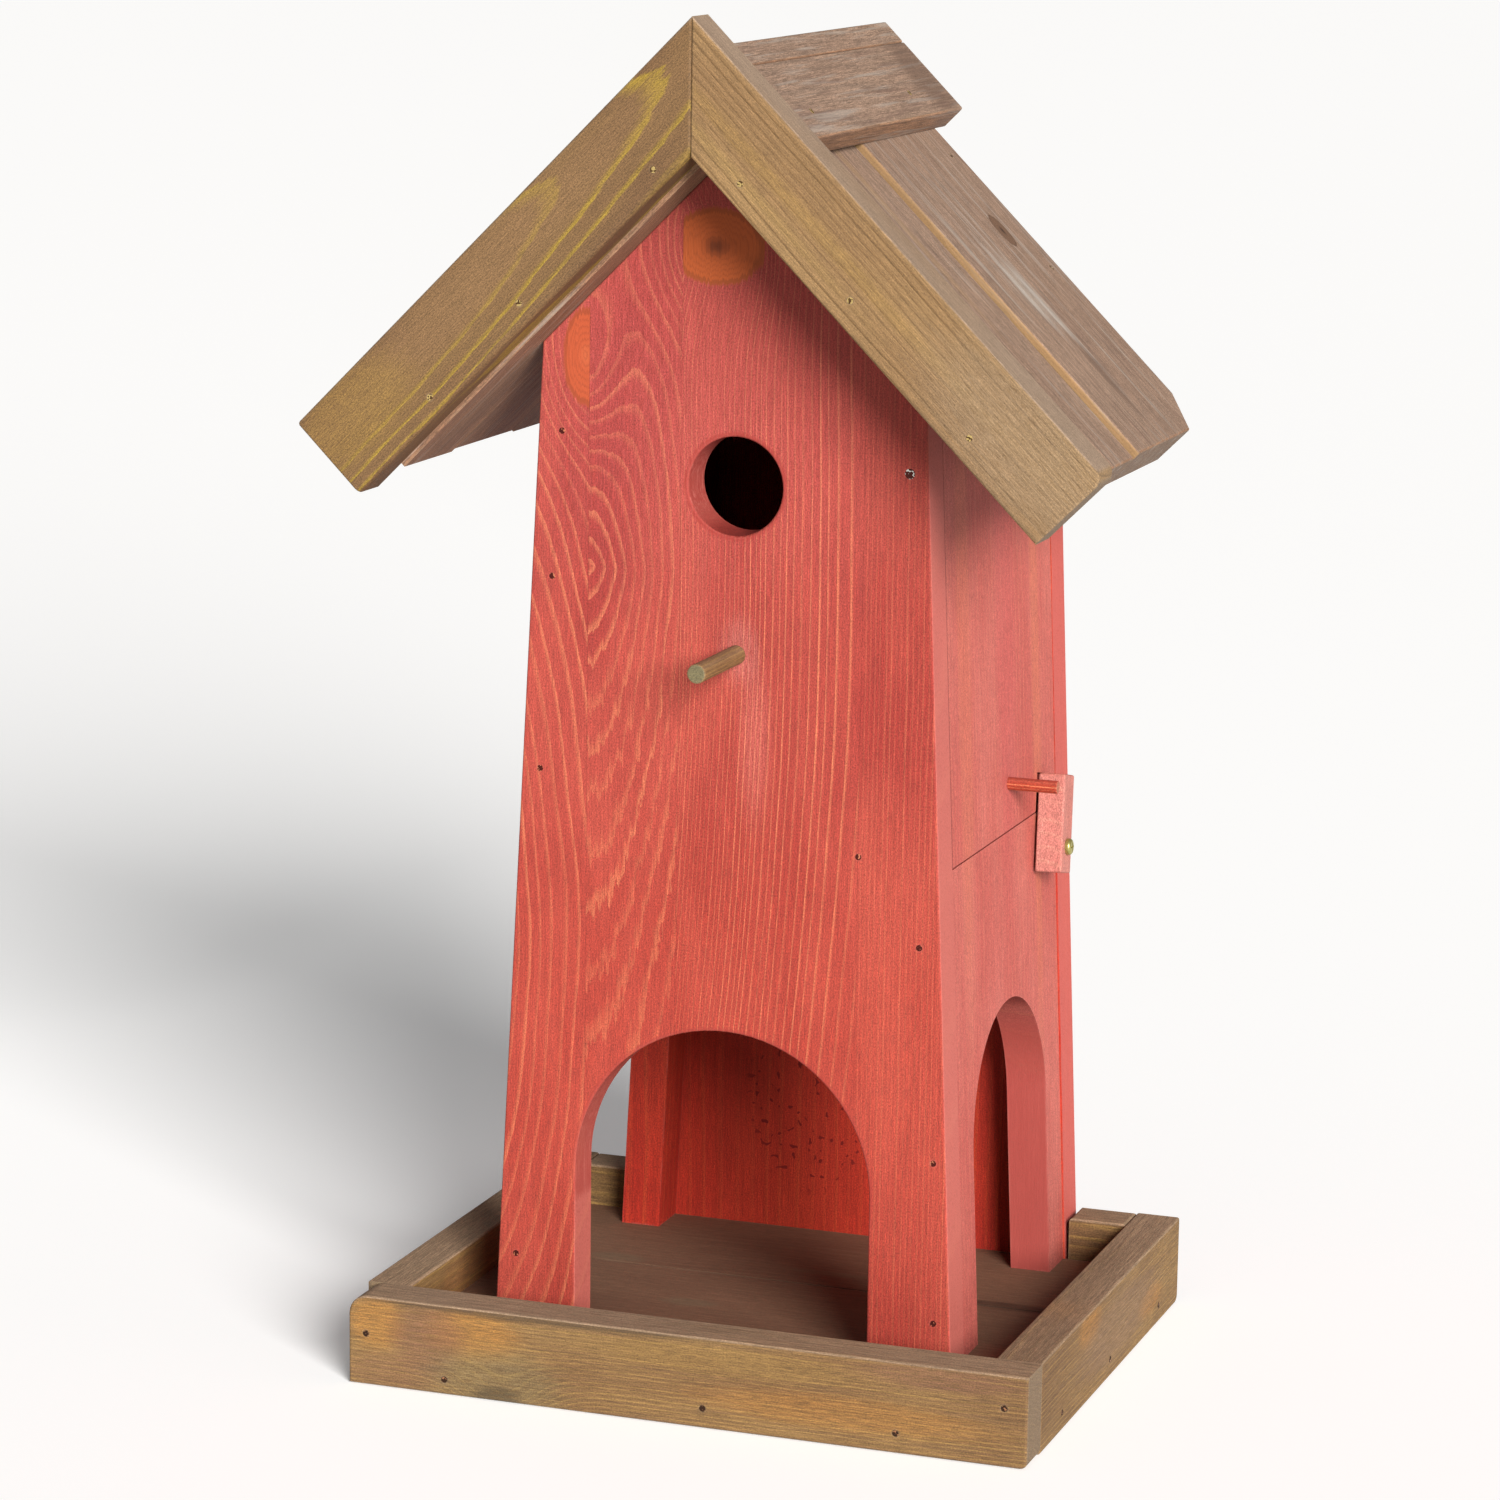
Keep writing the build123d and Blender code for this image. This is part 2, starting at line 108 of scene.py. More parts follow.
# ---------------------------------------------------------------------------------------
# A small language for node trees
# ---------------------------------------------------------------------------------------
def linear(rgb):
    """A colour as it shows in the studio light, 0 to 255, as the linear colour that nodes hold."""
    def channel(c):
        c /= 255.0
        return STAIN_DEPTH * (c / 12.92 if c <= 0.04045 else ((c + 0.055) / 1.055) ** 2.4)
    return tuple(channel(c) for c in rgb) + (1.0,)


class Graph:
    """Adds nodes to a tree. Every argument is a socket or a plain value."""

    def __init__(self, tree):
        self.tree = tree

    def put(self, socket, value):
        if isinstance(value, bpy.types.NodeSocket):
            self.tree.links.new(value, socket)
        else:
            socket.default_value = value

    def node(self, kind, **settings):
        made = self.tree.nodes.new(kind)
        for key, value in settings.items():
            setattr(made, key, value)
        return made

    def math(self, operation, a, b=None, clamp=False):
        made = self.node("ShaderNodeMath", operation=operation, use_clamp=clamp)
        for socket, value in zip(made.inputs, (a, b)):
            if value is not None:
                self.put(socket, value)
        return made.outputs[0]

    def add(self, a, b):
        return self.math("ADD", a, b)

    def sub(self, a, b):
        return self.math("SUBTRACT", a, b)

    def mul(self, a, b):
        return self.math("MULTIPLY", a, b)

    def dot(self, vector, axis):
        made = self.node("ShaderNodeVectorMath", operation="DOT_PRODUCT")
        self.put(made.inputs[0], vector)
        self.put(made.inputs[1], axis)
        return made.outputs["Value"]

    def scale(self, vector, factor):
        made = self.node("ShaderNodeVectorMath", operation="SCALE")
        self.put(made.inputs[0], vector)
        made.inputs["Scale"].default_value = factor
        return made.outputs[0]

    def vector(self, x, y, z):
        made = self.node("ShaderNodeCombineXYZ")
        for socket, value in zip(made.inputs, (x, y, z)):
            self.put(socket, value)
        return made.outputs[0]

    def noise(self, vector, detail=2.0, roughness=0.5):
        made = self.node("ShaderNodeTexNoise")
        self.put(made.inputs["Vector"], vector)
        made.inputs["Scale"].default_value = 1.0
        made.inputs["Detail"].default_value = detail
        made.inputs["Roughness"].default_value = roughness
        return made.outputs["Fac"]

    def ramp(self, value, low, high, to_low=0.0, to_high=1.0):
        made = self.node("ShaderNodeMapRange", interpolation_type="SMOOTHSTEP")
        for socket, number in zip(made.inputs[:5], (value, low, high, to_low, to_high)):
            self.put(socket, number)
        return made.outputs["Result"]

    def mix(self, factor, a, b, blend="MIX"):
        made = self.node("ShaderNodeMix", data_type="RGBA", blend_type=blend)
        self.put(made.inputs[0], factor)
        self.put(made.inputs[6], a)
        self.put(made.inputs[7], b)
        return made.outputs[2]

    def grey(self, value):
        made = self.node("ShaderNodeCombineColor")
        for socket in made.inputs[:3]:
            self.put(socket, value)
        return made.outputs[0]


# ---------------------------------------------------------------------------------------
# Growth rings. All lengths in these trees are millimetres.
# ---------------------------------------------------------------------------------------
RINGS = dict(along=0.0, across=0.0, depth=0.0, extra=0.0, pith_across=0.0, pith_depth=0.0, tilt=0.0,
             centre=0.0, squash=0.0, squash_power=1.0, bow=0.0, bow_at=0.0, spacing=4.0, slow=1e6,
             wander=3.0, ragged=0.5, sharp=0.55, inner=0.0, seed=0.0)


def make_ring_group():
    """Rings about a pith line. Tilt leans the pith out of the face, which draws cathedrals.
    Squash closes the rings round a point along the board, bow bends straight grain, slow packs
    the outer rings closer, and extra pushes the rings round a knot."""
    tree = bpy.data.node_groups.new("growth_rings", "ShaderNodeTree")
    for name, default in RINGS.items():
        socket = tree.interface.new_socket(name, in_out="INPUT", socket_type="NodeSocketFloat")
        socket.default_value = default
    for name in ("line", "ring"):
        tree.interface.new_socket(name, in_out="OUTPUT", socket_type="NodeSocketFloat")
    g = Graph(tree)
    i = g.node("NodeGroupInput").outputs
    out = g.node("NodeGroupOutput").inputs
    along, across, depth, seed = i["along"], i["across"], i["depth"], i["seed"]
    slow = g.vector(g.add(g.mul(along, 0.011), seed), g.mul(across, 0.022), g.mul(depth, 0.022))
    sway = g.mul(g.sub(g.noise(slow, 1.0), 0.5), g.mul(i["wander"], 2.0))
    rough = g.vector(g.mul(along, 0.05), g.mul(across, 0.42), g.add(g.mul(depth, 0.42), seed))
    ragged = g.mul(g.sub(g.noise(rough, 3.0, 0.65), 0.5), g.mul(i["ragged"], 2.0))
    off_bow = g.mul(g.math("ABSOLUTE", g.sub(along, i["bow_at"])), 0.01)
    bend = g.mul(g.math("POWER", off_bow, 2.0), i["bow"])
    a = g.add(g.sub(g.add(across, bend), i["pith_across"]), sway)
    d = g.sub(g.sub(depth, i["pith_depth"]), g.mul(along, i["tilt"]))
    reach = g.mul(g.math("ABSOLUTE", g.sub(along, i["centre"])), 1.0 / 60.0)
    s = g.mul(g.math("POWER", reach, i["squash_power"]), g.mul(i["squash"], 60.0))
    radius = g.math("SQRT", g.add(g.add(g.mul(a, a), g.mul(d, d)), g.mul(s, s)))
    radius = g.add(radius, ragged)
    closer = g.add(1.0, g.math("DIVIDE", radius, i["slow"]))
    count = g.add(g.mul(g.math("DIVIDE", radius, i["spacing"]), closer), i["extra"])
    uneven = g.noise(g.vector(g.mul(count, 0.31), seed, 0.0), 1.0)
    count = g.add(count, g.mul(uneven, 1.6))
    phase = g.math("FRACT", count)
    ring = g.node("ShaderNodeTexWhiteNoise", noise_dimensions="2D")
    g.put(ring.inputs["Vector"], g.vector(g.math("FLOOR", count), seed, 0.0))
    line = g.mul(g.ramp(phase, i["sharp"], 0.94), g.ramp(phase, 0.94, 1.0, 1.0, 0.0))
    g.put(out["line"], g.mul(line, g.math("GREATER_THAN", radius, i["inner"])))
    g.put(out["ring"], ring.outputs["Value"])
    return tree


# ---------------------------------------------------------------------------------------
# Boards. A frame is where a board's lengths are measured from, and its three directions:
# along the grain, across it on the face that shows, and into the wood.
# ---------------------------------------------------------------------------------------
MM_PER_METRE = 1000.0
WORN_WIDTH = 0.0016         # metres either side of an arris
BUMP_HEIGHT = 0.00025       # metres
WHOLE_BOARD = 900.0         # the far edge of a strip that reaches past the board's own edge
ROOT_HALF = math.sqrt(0.5)
PEAK = (-4.0, 0.0, 579.3)
BARGE_PEAK = (-4.0, -114.5, 579.3)
UP, SIDE, BACK, FORWARD = (0.0, 0.0, 1.0), (1.0, 0.0, 0.0), (0.0, 1.0, 0.0), (0.0, -1.0, 0.0)
DOWN_RIGHT, DOWN_LEFT = (ROOT_HALF, 0.0, -ROOT_HALF), (-ROOT_HALF, 0.0, -ROOT_HALF)

FRONT = ((0.0, -73.2, 0.0), UP, SIDE, BACK)
WALL = ((95.0, 0.0, 0.0), UP, BACK, (-1.0, 0.0, 0.0))
SHELF = ((0.0, 0.0, 20.0), SIDE, BACK, (0.0, 0.0, -1.0))
RIM_X = ((0.0, -121.0, 0.0), SIDE, UP, BACK)
RIM_Y = ((150.0, 0.0, 0.0), BACK, UP, (-1.0, 0.0, 0.0))
BARGE_LEFT = (BARGE_PEAK, DOWN_LEFT, DOWN_RIGHT, BACK)
BARGE_RIGHT = (BARGE_PEAK, DOWN_RIGHT, DOWN_LEFT, BACK)
ROOF_LEFT = (PEAK, DOWN_LEFT, BACK, DOWN_RIGHT)
ROOF_RIGHT = (PEAK, DOWN_RIGHT, BACK, DOWN_LEFT)
CAP_LEFT = (PEAK, BACK, DOWN_LEFT, DOWN_RIGHT)
CAP_RIGHT = (PEAK, BACK, DOWN_RIGHT, DOWN_LEFT)

# Palettes: the stain and its deeper parts, the lines between rings, weathered upper faces, end
# grain, worn arrises and nail holes, each with how strong it is. fine and speck set the contrast
# of the fibres and of the pores.
RED = dict(base=(190, 78, 64), deep=(168, 56, 47), line=(228, 132, 92), line_power=0.9,
           top=(186, 90, 78), top_power=0.3, end=(148, 44, 36), worn=(206, 110, 98), worn_power=0.55,
           hole=(88, 16, 12), fine=1.2, speck=2.6)
DARK_RED = dict(RED, base=(212, 62, 38), deep=(188, 44, 28), line=(222, 92, 48), line_power=0.45)
PINK = dict(RED, base=(208, 110, 98), deep=(198, 92, 82), line=(222, 134, 104), line_power=0.45,
            end=(160, 58, 50), worn=(216, 126, 114), fine=1.0)
KNOB = dict(RED, base=(186, 70, 40), end=(196, 128, 100))
LATCH = dict(PINK, base=(214, 140, 128), deep=(204, 120, 108), line=(226, 158, 136), end=(214, 130, 112))
BROWN = dict(base=(150, 116, 72), deep=(126, 92, 58), line=(178, 142, 74), line_power=0.55,
             top=(166, 142, 122), top_power=0.85, end=(138, 118, 96), worn=(176, 152, 122),
             worn_power=0.6, hole=(58, 38, 24), fine=1.3, speck=1.6)
LEFT_BARGE = dict(BROWN, base=(134, 102, 64), deep=(116, 84, 56), line=(168, 138, 48), line_power=0.9,
                  fine=1.0, speck=3.0)
RIGHT_BARGE = dict(BROWN, base=(164, 130, 86), deep=(148, 114, 76), line=(112, 82, 46),
                   line_power=0.95, fine=1.4, speck=2.2)
ROOF = dict(BROWN, base=(174, 130, 98), deep=(148, 108, 82), line=(112, 84, 68), line_power=0.7,
            top=(160, 137, 120), top_power=0.65, fine=2.1, speck=2.4)
TRAY = dict(BROWN, line=(184, 146, 78), line_power=0.6, top=(182, 152, 124), top_power=0.8,
            fine=1.7, speck=2.2)
BED = dict(BROWN, base=(146, 106, 78), deep=(124, 86, 64), line=(160, 124, 94), line_power=0.45,
           top=(144, 104, 82), top_power=0.6)
PERCH = dict(BROWN, base=(156, 122, 76), end=(112, 114, 86), top_power=0.2)


class Wood:
    """One board's material. The pieces of the look are added one after another."""

    def __init__(self, name, board, palette, seed):
        self.material = bpy.data.materials.new(name)
        self.material.use_nodes = True
        tree = self.material.node_tree
        self.shader = tree.nodes["Principled BSDF"]
        self.g = g = Graph(tree)
        self.palette, self.seed = palette, seed
        origin, self.grain_axis, across_axis, into_axis = board
        self.point = g.scale(g.node("ShaderNodeTexCoord").outputs["Object"], MM_PER_METRE)
        local = g.node("ShaderNodeVectorMath", operation="SUBTRACT")
        g.put(local.inputs[0], self.point)
        local.inputs[1].default_value = origin
        self.along, self.across, self.depth = (
            g.dot(local.outputs[0], axis) for axis in (self.grain_axis, across_axis, into_axis))
        self.normal = g.node("ShaderNodeNewGeometry").outputs["Normal"]
        self.fibre = self.stretched(0.030, 1.1, 3.0, 0.65)
        self.fine = self.stretched(0.14, 2.4, 3.0, 0.8)
        self.speck = self.stretched(1.3, 1.9, 3.0, 0.8)
        self.mottle = self.stretched(0.006, 0.022, 3.0, 0.6)
        self.line, self.colour = 0.0, None

    def stretched(self, along, across, detail, roughness, shift=0.0):
        """Noise drawn out along the grain, with that many features a millimetre."""
        g = self.g
        place = g.vector(g.add(g.mul(self.along, along), self.seed + shift), g.mul(self.across, across),
                         g.mul(self.depth, across))
        return g.noise(place, detail, roughness)

    def away(self, spot, wobble=0.0):
        """Distance from the middle of an ellipse on the face, 1 at its edge."""
        g = self.g
        at_along, at_across, half_along, half_across = spot
        da = g.math("DIVIDE", g.sub(self.along, at_along), half_along)
        dc = g.math("DIVIDE", g.sub(self.across, at_across), half_across)
        away = g.math("SQRT", g.add(g.mul(da, da), g.mul(dc, dc)))
        return g.add(away, g.mul(g.sub(self.fibre, 0.5), wobble)) if wobble else away

    def grain(self, group, strips, bumps=()):
        """strips: (far edge across, power of its lines, ring settings), the boards of a glued panel
        from low to high. bumps: (ellipse, rings pushed aside) where knots bend the grain."""
        g = self.g
        push = 0.0
        for spot, strength in bumps:
            away = self.away(spot)
            fall = g.math("EXPONENT", g.mul(g.mul(away, away), -1.0))
            push = g.add(g.mul(fall, strength), push)
        for index, (_, power, settings) in enumerate(strips):
            made = g.node("ShaderNodeGroup")
            made.node_tree = group
            values = dict(along=self.along, across=self.across, depth=self.depth, extra=push,
                          seed=self.seed + 3.7 * index)
            values.update(settings)
            for name, value in values.items():
                if isinstance(value, tuple):
                    value = g.ramp(self.along, *value)
                g.put(made.inputs[name], value)
            strong = g.mul(g.add(g.mul(made.outputs["ring"], 0.65), 0.35), power)
            line = g.mul(made.outputs["line"], strong)
            if index == 0:
                self.line = line
            else:
                inside = g.math("GREATER_THAN", self.across, strips[index - 1][0])
                self.line = g.add(g.mul(self.line, g.sub(1.0, inside)), g.mul(line, inside))

    def stain(self):
        g, palette = self.g, self.palette
        patchy = g.ramp(self.mottle, 0.32, 0.68)
        self.colour = g.mix(patchy, linear(palette["deep"]), linear(palette["base"]))
        broken = g.ramp(self.fibre, 0.25, 0.55, 0.45, 1.0)
        amount = g.mul(g.mul(self.line, palette["line_power"]), broken)
        self.colour = g.mix(amount, self.colour, linear(palette["line"]))

    def patch(self, spot, rgb, strength, soft=0.8):
        """A soft-edged patch of colour: a stain or scuff, and in places painted shade."""
        g = self.g
        mask = g.ramp(self.away(spot, 1.1), 1.0 + soft / 2, 1.0 - soft / 2, 0.0, strength)
        mask = g.mul(mask, g.ramp(self.fine, 0.35, 0.6, 0.35, 1.0))
        self.colour = g.mix(mask, self.colour, linear(rgb))

    def streaks(self, rgb, strength, along, across, low, high, shift):
        """Long pale or dark streaks that follow the grain."""
        g = self.g
        mask = g.ramp(self.stretched(along, across, 3.0, 0.7, shift), low, high, 0.0, strength)
        self.colour = g.mix(mask, self.colour, linear(rgb))

    def pits(self, size, low, rgb, spot):
        """Small dents knocked into one part of the face."""
        g = self.g
        dents = g.ramp(g.noise(g.scale(self.point, 1.0 / size), 0.0), low, low + 0.03)
        mask = g.mul(dents, g.ramp(self.away(spot), 1.1, 0.8))
        self.colour = g.mix(mask, self.colour, linear(rgb))

    def knot(self, spot, heart, body, low=-1e4, high=1e4):
        """A knot with its own rings. It stops at the joints of a glued panel, low and high across."""
        g = self.g
        away = g.add(self.away(spot, 0.35), g.mul(g.sub(self.speck, 0.5), 0.08))
        away = g.add(away, g.mul(g.sub(self.mottle, 0.5), 0.5))
        kept = g.mul(g.math("GREATER_THAN", self.across, low), g.math("LESS_THAN", self.across, high))
        turns = g.math("FRACT", g.mul(away, 7.5))
        inner = g.mix(g.ramp(away, 0.0, 0.42), linear(heart), linear(body))
        dark = [c * 0.62 for c in body]
        inner = g.mix(g.mul(g.ramp(turns, 0.5, 0.95), 0.30), inner, linear(dark))
        rim = g.mul(g.ramp(away, 0.86, 0.97), g.ramp(away, 0.97, 1.1, 1.0, 0.0))
        inner = g.mix(g.mul(rim, 0.45), inner, linear(dark))
        self.colour = g.mix(g.mul(g.ramp(away, 1.08, 0.98), kept), self.colour, inner)

    def shade(self):
        """The fine fibres and pores that break up every face."""
        g, fine, speck = self.g, self.palette["fine"], self.palette["speck"]
        value = g.ramp(self.fibre, 0.3, 0.7, 1.0 - 0.10 * fine, 1.0 + 0.09 * fine)
        value = g.mul(value, g.ramp(self.fine, 0.28, 0.72, 1.0 - 0.20 * fine, 1.0 + 0.18 * fine))
        value = g.mul(value, g.ramp(self.speck, 0.28, 0.72, 1.0 - 0.17 * speck, 1.0 + 0.16 * speck))
        self.texture = g.grey(value)
        self.colour = g.mix(1.0, self.colour, self.texture, "MULTIPLY")

    def weather(self):
        """Rain and sun: greyed upper faces, darker end grain and paler worn arrises."""
        g, palette = self.g, self.palette
        top = g.mix(1.0, linear(palette["top"]), self.texture, "MULTIPLY")
        sawn = g.mix(1.0, linear(palette["end"]), self.texture, "MULTIPLY")
        upward = g.ramp(g.dot(self.normal, UP), 0.25, 0.65)
        amount = g.mul(g.mul(upward, g.ramp(self.mottle, 0.25, 0.6, 0.65, 1.0)), palette["top_power"])
        self.colour = g.mix(amount, self.colour, top)
        end = g.ramp(g.math("ABSOLUTE", g.dot(self.normal, self.grain_axis)), 0.75, 0.95)
        self.colour = g.mix(g.mul(end, 0.7), self.colour, sawn)
        bevel = g.node("ShaderNodeBevel", samples=4)
        bevel.inputs["Radius"].default_value = WORN_WIDTH
        turned = g.sub(1.0, g.dot(bevel.outputs[0], self.normal))
        rubbed = g.ramp(self.stretched(0.05, 0.3, 3.0, 0.7, 5.0), 0.35, 0.62)
        edge = g.mul(g.ramp(turned, 0.01, 0.14), rubbed)
        self.colour = g.mix(g.mul(edge, palette["worn_power"]), self.colour, linear(palette["worn"]))

    def raw_edge_and_shade(self, direction, rgb, strength=0.85):
        """Colours the faces that look one way: a sawn edge that kept its fresh colour, and in places
        painted shade on faces that the light misses.
        """
        g = self.g
        facing = g.ramp(g.dot(self.normal, direction), 0.6, 0.9)
        rough = g.ramp(self.speck, 0.35, 0.55, 0.55, 1.0)
        self.colour = g.mix(g.mul(g.mul(facing, rough), strength), self.colour, linear(rgb))

    def seam(self, axis, place, width, strength=0.8):
        """A dark line where this board meets the next: dirt in the joint, and on the side panels also
        painted shade from the board in front. axis is along, across or depth.
        """
        g = self.g
        away = g.math("ABSOLUTE", g.sub(getattr(self, axis), place))
        mask = g.ramp(g.add(away, g.mul(self.speck, 0.4 * width)), width, 0.5 * width, 0.0, strength)
        self.colour = g.mix(mask, self.colour, linear(self.palette["hole"]))

    def ring_edge(self, at_along, at_across, radius, width, strength):
        """The torn, darker edge round a sawn opening."""
        g = self.g
        da, dc = g.sub(self.along, at_along), g.sub(self.across, at_across)
        away = g.sub(g.math("SQRT", g.add(g.mul(da, da), g.mul(dc, dc))), radius)
        away = g.math("ABSOLUTE", g.add(away, g.mul(g.sub(self.fine, 0.5), 1.6 * width)))
        mask = g.mul(g.ramp(away, width, 0.3 * width, 0.0, strength), g.ramp(self.fibre, 0.3, 0.55))
        self.colour = g.mix(mask, self.colour, linear(self.palette["deep"]))

    def nail_holes(self, heads, radius):
        g = self.g
        nearest = 1e3
        for head in heads:
            gap = g.node("ShaderNodeVectorMath", operation="DISTANCE")
            g.put(gap.inputs[0], self.point)
            gap.inputs[1].default_value = tuple(MM_PER_METRE * c for c in head)
            nearest = g.math("MINIMUM", nearest, gap.outputs["Value"])
        nearest = g.add(nearest, g.mul(g.sub(self.speck, 0.5), 1.2))
        self.colour = g.mix(g.ramp(nearest, radius, 0.55 * radius, 0.0, 0.9), self.colour,
                            linear(self.palette["hole"]))

    def done(self, bump=1.0):
        g = self.g
        g.put(self.shader.inputs["Base Color"], self.colour)
        g.put(self.shader.inputs["Roughness"],
              g.sub(g.add(0.66, g.mul(self.speck, 0.22)), g.mul(self.line, 0.08)))
        self.shader.inputs["Specular IOR Level"].default_value = 0.30
        height = g.add(g.mul(self.line, 0.5), g.add(g.mul(self.fine, 0.8), g.mul(self.speck, 0.5)))
        made = g.node("ShaderNodeBump")
        made.inputs["Strength"].default_value = 0.5
        made.inputs["Distance"].default_value = BUMP_HEIGHT * bump
        g.put(made.inputs["Height"], height)
        g.put(self.shader.inputs["Normal"], made.outputs["Normal"])
        return self.material


# ---------------------------------------------------------------------------------------
# Nails
# ---------------------------------------------------------------------------------------
# Rust with painted shade, and painted glints, share one spot pattern on the nail heads, this many spots a
# metre.
RUST_AND_GLINT_SPOTS_PER_METRE = 900.0
NAIL_NODES = ("tower_nails", "tray_nails", "barge_nails", "plank_nails", "cap_nails", "pivot_nails")


def islands(mesh):
    """The separate solids of a node, each as a list of its points."""
    owner = list(range(len(mesh.vertices)))

    def find(i):
        while owner[i] != i:
            owner[i] = owner[owner[i]]
            i = owner[i]
        return i
    for edge in mesh.edges:
        a, b = (find(i) for i in edge.vertices)
        owner[a] = b
    seen = {}
    for vertex in mesh.vertices:
        seen.setdefault(tuple(round(c, 6) for c in vertex.co), []).append(find(vertex.index))
    for group in seen.values():
        for other in group[1:]:
            a, b = find(group[0]), find(other)
            owner[a] = b
    found = {}
    for vertex in mesh.vertices:
        found.setdefault(find(vertex.index), []).append(vertex.co.copy())
    return list(found.values())


def nail_heads():
    """Where each nail's head lies, taken from the nails themselves."""
    heads = []
    for node in NAIL_NODES:
        for points in islands(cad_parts[node].data):
            middle = sum(points, Vector()) / len(points)
            axis = max(points, key=lambda p: (p - middle).length) - middle
            low = min(points, key=lambda p: (p - middle).dot(axis))
            high = max(points, key=lambda p: (p - middle).dot(axis))
            ends = []
            for tip in (low, high):
                near = [p for p in points if abs((p - tip).dot(axis.normalized())) < 0.0004]
                centre = sum(near, Vector()) / len(near)
                ends.append((max((p - centre).length for p in near), centre))
            heads.append(max(ends, key=lambda end: end[0])[1])
    return heads


def heads_on(node, heads):
    low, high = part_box(node)
    slack = 0.0006
    return [h for h in heads if all(low[i] - slack < h[i] < high[i] + slack for i in range(3))]


def nail_metal(name, bright, dark, share, metallic=0.8):
    """Small heads, dark with rust and painted shade, with bright spots that are painted glints, and bare
    metal as well where the material is metallic.
    """
    material = bpy.data.materials.new(name)
    material.use_nodes = True
    g = Graph(material.node_tree)
    shader = material.node_tree.nodes["Principled BSDF"]
    place = g.scale(g.node("ShaderNodeTexCoord").outputs["Object"], RUST_AND_GLINT_SPOTS_PER_METRE)
    mask = g.ramp(g.noise(place, 1.0), share, share + 0.06)
    g.put(shader.inputs["Base Color"], g.mix(mask, linear(dark), linear(bright)))
    g.put(shader.inputs["Metallic"], g.mul(mask, metallic))
    g.put(shader.inputs["Roughness"], g.ramp(mask, 0.0, 1.0, 0.85, 0.35))
    shader.inputs["Specular IOR Level"].default_value = 0.15
    return material


def paint(node, material):
    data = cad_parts[node].data
    data.materials.clear()
    data.materials.append(material)
    for polygon in data.polygons:
        polygon.material_index = 0


# ---------------------------------------------------------------------------------------
# The tower
# ---------------------------------------------------------------------------------------
GLUE_LINES = (-62.0, -21.6, 57.8)      # across the front panel
# Painted shadow: the colour laid on the front panel under the right barge, where the roof's shade falls.
PAINTED_EAVES_SHADOW = (150, 54, 42)


def dress_front(group, heads):
    first, second, third = GLUE_LINES
    strips = (
        (first, 0.85, dict(pith_across=-136.0, centre=185.0, squash=0.34, spacing=5.4, wander=4.0,
                           ragged=0.5, sharp=0.62)),
        (second, 1.0, dict(pith_across=-62.0, centre=350.0, squash=0.37, squash_power=0.6, pith_depth=-3.0,
                           spacing=4.3, wander=3.0, ragged=(335.0, 295.0, 0.9, 2.8), sharp=0.55)),
        (third, 1.0, dict(pith_across=76.0, spacing=14.0, slow=28.0, bow=2.6, bow_at=350.0, wander=1.0,
                          ragged=0.12, sharp=0.70)),
        (WHOLE_BOARD, 0.4, dict(pith_across=-300.0, spacing=2.3, wander=1.0, ragged=0.12)))
    top_knot, bent_by_top = (485.0, -7.0, 15.5, 20.0), (485.0, -7.0, 32.0, 32.0)
    side_knot, bent_by_side = (438.0, -64.0, 20.0, 9.5), (438.0, -64.0, 36.0, 18.0)
    wood = Wood("red_front", FRONT, RED, 1.0)
    wood.grain(group, strips, ((bent_by_top, 6.0), (bent_by_side, 5.0)))
    wood.stain()
    wood.patch((500.0, -20.0, 150.0, 120.0), (182, 84, 84), 0.45, 1.0)
    wood.patch((120.0, 0.0, 120.0, 160.0), (196, 70, 44), 0.35, 1.0)
    # Painted shadow under the right barge, darkening the top right of the face.
    wood.patch((492.0, 34.0, 70.0, 62.0), PAINTED_EAVES_SHADOW, 0.5, 1.3)
    wood.patch((410.0, 78.0, 60.0, 24.0), PAINTED_EAVES_SHADOW, 0.4, 1.3)
    wood.patch((284.0, 12.0, 30.0, 6.0), (214, 124, 112), 0.35, 1.4)
    wood.patch((319.0, 5.0, 12.0, 7.0), (208, 128, 118), 0.5, 1.4)
    wood.shade()
    wood.knot(top_knot, (120, 54, 22), (190, 90, 40), low=second)
    wood.knot(side_knot, (206, 100, 60), (198, 88, 50), high=first)
    for edge in GLUE_LINES:
        wood.seam("across", edge, 0.35, 0.22)
    wood.raw_edge_and_shade(SIDE, (214, 116, 104), 0.85)
    wood.ring_edge(387.3, 2.2, 21.0, 2.2, 0.8)      # the entrance hole
    wood.ring_edge(91.3, -0.4, 66.2, 1.6, 0.6)      # the top of the arch
    wood.weather()
    wood.nail_holes(heads_on("front_panel", heads), 1.5)
    paint("front_panel", wood.done())


def stain_side(wood):
    """Streaks along the paler side, on the door and the board under it."""
    wood.patch((320.0, -30.0, 150.0, 9.0), (214, 118, 92), 0.6)
    wood.patch((330.0, 30.0, 130.0, 14.0), (208, 96, 92), 0.5)
    wood.patch((300.0, 74.0, 160.0, 6.0), (216, 124, 88), 0.5)


